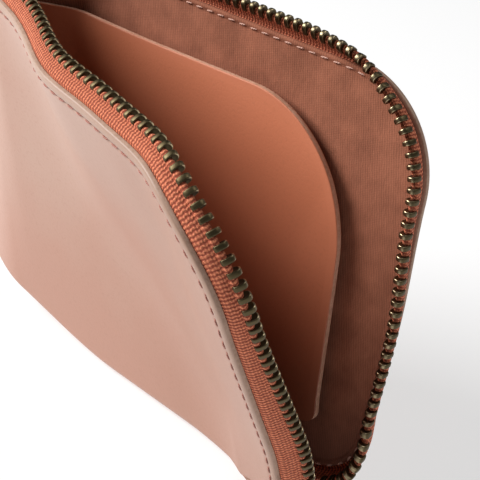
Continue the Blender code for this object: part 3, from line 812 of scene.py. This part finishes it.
def lining_front(materials):
    """Lining of the front panel and the fold."""
    columns, heights = lining_grid()
    u = np.broadcast_to(columns, heights.shape)
    turns = np.linspace(0, HALF_TURN, 25)[1:, None]
    grids = []
    for depth, rise in ((LINING_DEPTH, 0), (LINING_FACE, 1)):
        bottom = fold(columns, turns, depth)
        bottom[columns > FOLD_LENGTH + FOLD_RUN_ON * (turns < QUARTER)] = np.nan
        face = depth + rise * hem(u, heights) * (u < FOLD_LENGTH)
        grids.append(np.concatenate([front(u, heights, face), bottom]))
    below = -FOLD_DEPTH * np.broadcast_to(turns, (len(turns), len(columns)))
    wide = np.concatenate([u, u[:len(turns)]])
    return closed_sheet("lining_front", *grids, wide, np.concatenate([heights, below]), 0, materials)


def lining_back(materials):
    """Lining of the back panel, with its turned-in hem."""
    columns, heights = lining_grid()
    heights = np.maximum(heights, JOIN_GAP)
    u = np.broadcast_to(columns, heights.shape)
    grids = [back(u, heights, depth) for depth in (LINING_DEPTH, LINING_FACE + hem(u, heights))]
    return closed_sheet("lining_back", *grids, u, heights, 0, materials)


def pocket(materials):
    """Slip pocket: its corners are quarter circles, its foot rises by a smooth step, its top falls evenly.

    It stands off the lining by the greater of two smooth steps, up its height and towards its free side.
    """
    round_start = POCKET_RIGHT - POCKET_RADIUS
    columns = np.concatenate([
        np.linspace(POCKET_LEFT, round_start, 60),
        round_start + POCKET_RADIUS * np.sin(np.linspace(0, QUARTER, 37)[1:]),
    ])
    across = np.clip(columns - round_start, 0, POCKET_RADIUS)
    fall = POCKET_FALL * (POCKET_RIGHT - columns) / (POCKET_RIGHT - POCKET_LEFT)
    top = POCKET_TOP - POCKET_RADIUS + np.sqrt(POCKET_RADIUS ** 2 - across ** 2) - fall
    beyond = np.clip(columns - POCKET_RIGHT + POCKET_FOOT_RADIUS, 0, POCKET_FOOT_RADIUS)
    rise = POCKET_FOOT_RISE * ease((columns - POCKET_LEFT) / (POCKET_RIGHT - POCKET_LEFT))
    low = POCKET_FOOT + rise + POCKET_FOOT_RADIUS - np.sqrt(POCKET_FOOT_RADIUS ** 2 - beyond ** 2)
    share = np.linspace(0, 1, 40)[:, None]
    steps = POCKET_STEPS[:, None]
    heights = np.concatenate([top - steps, top - steps[-1] + (low - top + steps[-1]) * share[1:]])
    u = np.broadcast_to(columns, heights.shape)
    level = heights + fall
    arc = POCKET_RADIUS - np.hypot(u - round_start, level - POCKET_TOP + POCKET_RADIUS)
    square = np.minimum(POCKET_RIGHT - u, POCKET_TOP - level)
    rim = np.where((u > round_start) & (level > POCKET_TOP - POCKET_RADIUS), arc, square)
    rounded = rounding(rim, CHAMFER, CHAMFER)
    loose = np.maximum(ease(heights / POCKET_TOP), ease((u - round_start) / POCKET_RADIUS))
    bow = POCKET_STAND_OFF * loose * ease((u - POCKET_LEFT) / POCKET_LEFT)
    near = POCKET_DEPTH + bow
    slant = POCKET_SLANT * heights / POCKET_TOP * (u - POCKET_LEFT) / (POCKET_RIGHT - POCKET_LEFT)
    grids = [back(u - slant, heights, depth) for depth in (near + rounded, near + POCKET_LEATHER - rounded)]
    return closed_sheet("slip_pocket", *grids, u, heights, rim, materials)


def tape(name, side, materials):
    """Woven tape: a thin sheet that thickens to meet the hide, then turns in."""
    along = np.linspace(ZIP_START, TAPE_END, 420)
    reach = np.concatenate([np.linspace(-TAPE_SEWN, 0, 12), np.linspace(0, TAPE_FREE, 16)[1:]])
    u = np.broadcast_to(along, (len(reach), len(along)))
    spread = np.broadcast_to(reach[:, None], u.shape)
    outer = tape_point(u, side, spread, -TAPE / 2 - TAPE_PAD * (1 - ease(spread / TAPE_TURN_RADIUS)))
    inner = tape_point(u, side, spread, TAPE / 2)
    return closed_sheet(name, outer, inner, u, spread, 0, materials)


def cord(name, side, materials):
    """Corded edge of a tape: a round bead whose radius grows by a squared sine between the teeth."""
    along = np.linspace(ZIP_START + CORD_LEAD, ZIP_END, 1000)[:, None]
    phase = (along - ZIP_START) / TOOTH_PITCH - (0.5 if side == BACK else 1.0)
    radius = CORD_RADIUS + CORD_SWELL * np.sin(phase * HALF_TURN) ** 2
    turn = np.linspace(0, FULL_TURN, 13)[:-1]
    points = row_point(along, along, side, radius * np.cos(turn) - CORD_SETBACK, radius * np.sin(turn))
    place = np.stack(np.broadcast_arrays(along, turn * CORD_RADIUS, 0 * along), axis=-1)
    return closed_tubes(name, points[None], place[None], materials)


def teeth(name, side, shift, materials):
    """Row of teeth: each is a rounded loop round the cord, hollowed on both faces, with a rim rubbed bright,
    partly wear and partly painted glints.

    Its outline has the root of the cosine ahead, and the 0.6 power of the sine for its height.
    """
    count = int((ZIP_END - ZIP_START - TOOTH_PITCH) / TOOTH_PITCH)
    centres = ZIP_START + TOOTH_PITCH * (np.arange(count)[:, None, None] + shift + 0.5)
    turn = np.linspace(0, FULL_TURN, 25)[:-1]
    cos = np.cos(turn)
    sin = np.sin(turn)
    ahead = np.where(cos > 0, TOOTH_NOSE, TOOTH_HEEL) * np.abs(cos) ** 0.5 * np.sign(cos) + TOOTH_SHIFT
    taper = np.where(cos > 0, 1 - NOSE_TAPER * cos ** 2, 1)
    height = TOOTH_HALF_HEIGHT * np.abs(sin) ** 0.6 * np.sign(sin) * taper
    # Each ring: share of the outline, place through the tooth's thickness, and how rubbed it is, which also
    # paints the rim's glint
    half = np.array([(0.3, 0.4, 0.0), (0.6, 0.41, 0.0), (0.74, 0.47, 0.4), (0.87, 0.5, 1.0),
                     (0.97, 0.43, 0.8), (1.0, 0.28, 0.3)])
    rings = np.concatenate([half * (1, -1, 1), half[::-1]])
    size, through, rub = rings.T[..., None] * np.ones_like(turn)
    a = TOOTH_CORE + (ahead - TOOTH_CORE) * size
    b = height * size
    points = row_point(centres + through * MM, centres, side, a, b)
    place = np.broadcast_to(np.stack([a, b, rub * MM], axis=-1), points.shape)
    return closed_tubes(name, points, place, materials)


def stop(name, side, materials):
    """Pressed clip that ends a row of teeth: a block over the corded edge, drawn in at both ends.

    Its outline has the roots of the cosine and the sine.
    """
    turn = np.linspace(0, FULL_TURN, 25)[:-1]
    cos = np.cos(turn)
    sin = np.sin(turn)
    # Share of the outline and place along the clip, ring by ring
    size = np.array([0.6, 0.85, 0.96, 1, 1, 0.96, 0.85, 0.6])[:, None]
    run = np.array([0, 0.02, 0.08, 0.2, 0.8, 0.92, 0.98, 1])[:, None]
    a = size * STOP_HALF_WIDTH * np.abs(cos) ** 0.5 * np.sign(cos)
    b = size * TOOTH_HALF_HEIGHT * np.abs(sin) ** 0.5 * np.sign(sin)
    along = ZIP_END + STOP_GAP + STOP_LENGTH * run
    points = row_point(along, along, side, a, b)
    return closed_tubes(name, points[None], np.stack([a, b, 0 * a], axis=-1)[None], materials)


def stitches(name, centres, place, materials):
    """Threads of a seam: each stitch is a short strand that arches out of the sheet and back into it.

    Its middle rises as a parabola and its ends sink with the sixth power of the distance from it. The area
    of its section falls with the fourth.
    """
    t = np.linspace(-1, 1, 11)[:, None]
    turn = np.linspace(0, FULL_TURN, 9)[:-1]
    radius = THREAD * np.sqrt(np.clip(1 - 0.75 * t ** 4, 0, 1))
    arch = THREAD_RISE * (1 - t ** 2) - THREAD_SINK * t ** 6
    along = centres[:, None, None] + t * STITCH_LENGTH / 2 + 0 * turn
    across = radius * np.cos(turn) + STITCH_SLANT * t
    lift = arch + radius * np.sin(turn)
    spots = np.stack(np.broadcast_arrays(along, turn * MM, 0 * along), axis=-1)
    return closed_tubes(name, place(along, across, lift), spots, materials)


def edge_stitches(name, side, materials):
    """Stitches on the hide's outer face along a panel's zip edge."""
    centres = np.arange(STITCH_MARGIN, EDGE_LENGTH - STITCH_MARGIN, STITCH_PITCH)

    def place(along, across, lift):
        return zip_point(along, side, across - STITCH_INSET, STITCH_GROOVE - THREAD_REST - lift)

    return stitches(name, centres, place, materials)


def inner_stitches(name, side, materials):
    """Stitches on the lining along a panel's zip edge. A smooth step moves them into the hem."""
    centres = np.arange(STITCH_MARGIN, EDGE_LENGTH - STITCH_MARGIN, STITCH_PITCH)

    def place(along, across, lift):
        sunk = HEM_SINK * ease((along - CORNER_START) / (CORNER_END - CORNER_START))
        return zip_point(along, side, across - BACK_STITCH_INSET + sunk, LINING_FACE + THREAD_REST + lift)

    return stitches(name, centres, place, materials)


def end_stitches(name, side, materials):
    """Stitches on the hide's outer face along the sewn end."""
    centres = np.arange(STITCH_MARGIN, HEIGHT - END_MARGIN, STITCH_PITCH)

    def place(along, across, lift):
        return panel(STITCH_INSET + across, along, STITCH_GROOVE - THREAD_REST - lift, side)

    return stitches(name, centres, place, materials)


def dress():
    """Make every piece, bake the front's pieces in place, hang the fixed ones on the wallet's body, hide the
    model's parts that they replace, and give the slider, puller and bottom stop the plain brass.
    """
    # The tan hide is painted darker towards its zip side, and the pocket towards its sewn end and its foot:
    # painted shade, and on the pocket the painted shadow of the front panel.
    tan = leather_finish("tan_hide", light=(0.52, 0.325, 0.25), dark=(0.485, 0.245, 0.172),
                         edge=(0.45, 0.30, 0.22), roughness=0.36, deep=0.0, groove_shade=0.7,
                         side_shade=(50.0, 105.0, 0.26))
    flesh = raw_edge_finish("flesh_side", (0.55, 0.37, 0.27), (0.40, 0.25, 0.18))
    cut = raw_edge_finish("cut_edge", (0.50, 0.33, 0.245), (0.36, 0.22, 0.155))
    orange = leather_finish("pocket_hide", light=(0.70, 0.235, 0.12), dark=(0.62, 0.195, 0.094),
                            edge=(0.69, 0.23, 0.118), roughness=0.42, deep=0.85, groove_shade=0.0,
                            side_shade=(80.0, 25.0, 0.4))
    orange_cut = raw_edge_finish("pocket_cut_edge", (0.78, 0.46, 0.32), (0.58, 0.30, 0.19))
    cotton = twill_finish("cotton_twill", (0.48, 0.172, 0.094), (0.21, 0.067, 0.033))
    weave = tape_finish("tape_weave", (0.92, 0.29, 0.145), (0.33, 0.058, 0.025))
    # One thread in two colours: the pale one as lit, the rose one a darker copy with painted shade for the
    # stitches in their grooves.
    pale = thread_finish("pale_thread", (0.80, 0.50, 0.40), (0.55, 0.28, 0.21))
    thread_in_shade = thread_finish("shaded_thread", (0.55, 0.24, 0.18), (0.28, 0.085, 0.06))
    brass = brass_finish("tooth_brass", (0.48, 0.385, 0.235), (0.10, 0.077, 0.04))
    metal = metal_finish("zip_brass", (0.36, 0.29, 0.165), (0.17, 0.135, 0.075))

    start, axis = bend_line()
    normal = np.cross(axis, panel(FOLD_LENGTH, HEIGHT, LEATHER / 2, FRONT) - start)

    bending = [
        (hide_front([tan, flesh, cut]), "outer_leather", ["flap_leather"]),
        (lining_front([cotton]), "lining", ["flap_lining"]),
        (tape("front_tape", FRONT, [weave]), "zip_tape", ["front_zip_tape", "front_zip_tape_end"]),
        (cord("front_cord", FRONT, [weave]), "zip_tape", []),
        (teeth("front_teeth", FRONT, 0.5, [brass]), "zip_metal", ["front_zip_teeth", "front_zip_teeth_end"]),
        (stop("front_stop", FRONT, [metal]), "zip_metal", ["front_top_stop"]),
        (edge_stitches("front_thread", FRONT, [thread_in_shade]), "thread", []),
        (inner_stitches("front_inner_thread", FRONT, [pale]), "thread", []),
    ]
    for piece, slot, nodes in bending:
        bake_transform(piece)
        if nodes:
            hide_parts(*nodes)
    fixed = [
        (hide_back([tan, flesh, cut]), "outer_leather", ["outer_leather"]),
        (lining_back([cotton]), "lining", ["lining"]),
        (pocket([orange, orange, orange_cut]), "pocket_leather", ["inner_pocket"]),
        (tape("back_tape", BACK, [weave]), "zip_tape", ["back_zip_tape"]),
        (cord("back_cord", BACK, [weave]), "zip_tape", []),
        (teeth("back_teeth", BACK, 0, [brass]), "zip_metal", ["back_zip_teeth"]),
        (stop("back_stop", BACK, [metal]), "zip_metal", ["back_top_stop"]),
        (edge_stitches("back_thread", BACK, [thread_in_shade]), "thread", []),
        (inner_stitches("back_inner_thread", BACK, [pale]), "thread", []),
        (end_stitches("front_end_thread", FRONT, [thread_in_shade]), "thread", []),
        (end_stitches("back_end_thread", BACK, [thread_in_shade]), "thread", []),
    ]
    for piece, slot, nodes in fixed:
        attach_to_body(piece, "wallet_body")
        if nodes:
            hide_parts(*nodes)
    for node in ("slider", "puller", "bottom_stop"):
        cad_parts[node].data.materials.clear()
        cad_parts[node].data.materials.append(metal)


def add_floor():
    """Pale floor, large enough to fill every view."""
    mesh = bpy.data.meshes.new("floor")
    corners = [(x * FLOOR_HALF, y * FLOOR_HALF, 0) for x, y in ((-1, -1), (1, -1), (1, 1), (-1, 1))]
    mesh.from_pydata(corners, [], [(0, 1, 2, 3)])
    material, start, link = surface("floor_paper", Roughness=0.9, Emission_Color=(1, 1, 1, 1),
                                    Emission_Strength=FLOOR_GLOW)
    grain = noise(start, object_place(start), 3.0)
    link(Base_Color=grain.between((0.51, 0.51, 0.51), (0.53, 0.53, 0.53)))
    mesh.materials.append(material)
    floor = bpy.data.objects.new("floor", mesh)
    bpy.context.scene.collection.objects.link(floor)


def add_light(name, place, target, size, power):
    """Soft square light that faces a target."""
    data = bpy.data.lights.new(name, "AREA")
    data.shape = "SQUARE"
    data.size = size
    data.energy = power
    lamp = bpy.data.objects.new(name, data)
    lamp.location = place
    lamp.rotation_euler = (Vector(target) - Vector(place)).to_track_quat("-Z", "Y").to_euler()
    bpy.context.scene.collection.objects.link(lamp)


def add_lights():
    """Plain soft studio light: a large key from the left, a weak one from behind, and a dim room."""
    middle = (0, 0, 0.04)
    add_light("key", place=(-0.62, -0.45, 0.62), target=middle, size=0.5, power=12.0)
    add_light("back_top", place=(0.3, 0.35, 0.8), target=middle, size=0.5, power=2.2)
    world = bpy.data.worlds.new("studio")
    world.use_nodes = True
    ground = world.node_tree.nodes["Background"]
    ground.inputs["Color"].default_value = (1, 1, 1, 1)
    ground.inputs["Strength"].default_value = 0.1
    bpy.context.scene.world = world


def add_camera():
    """Camera at the photo's place: azimuth, elevation and roll give its axes."""
    forward = Vector((-math.sin(AZIMUTH) * math.cos(ELEVATION), math.cos(AZIMUTH) * math.cos(ELEVATION),
                      -math.sin(ELEVATION)))
    level = Vector((math.cos(AZIMUTH), math.sin(AZIMUTH), 0))
    upright = level.cross(forward)
    right = level * math.cos(ROLL) + upright * math.sin(ROLL)
    up = upright * math.cos(ROLL) - level * math.sin(ROLL)
    data = bpy.data.cameras.new("camera")
    data.sensor_width = SENSOR
    data.lens = FOCAL_PIXELS * SENSOR / IMAGE_SIZE
    data.clip_start = 0.01
    camera = bpy.data.objects.new("camera", data)
    turned = Matrix((right, up, -forward)).transposed()
    camera.matrix_world = Matrix.Translation(CAMERA) @ turned.to_4x4()
    bpy.context.scene.collection.objects.link(camera)
    bpy.context.scene.camera = camera


dress()
add_floor()
add_lights()
add_camera()
bpy.context.scene.view_settings.view_transform = "Standard"
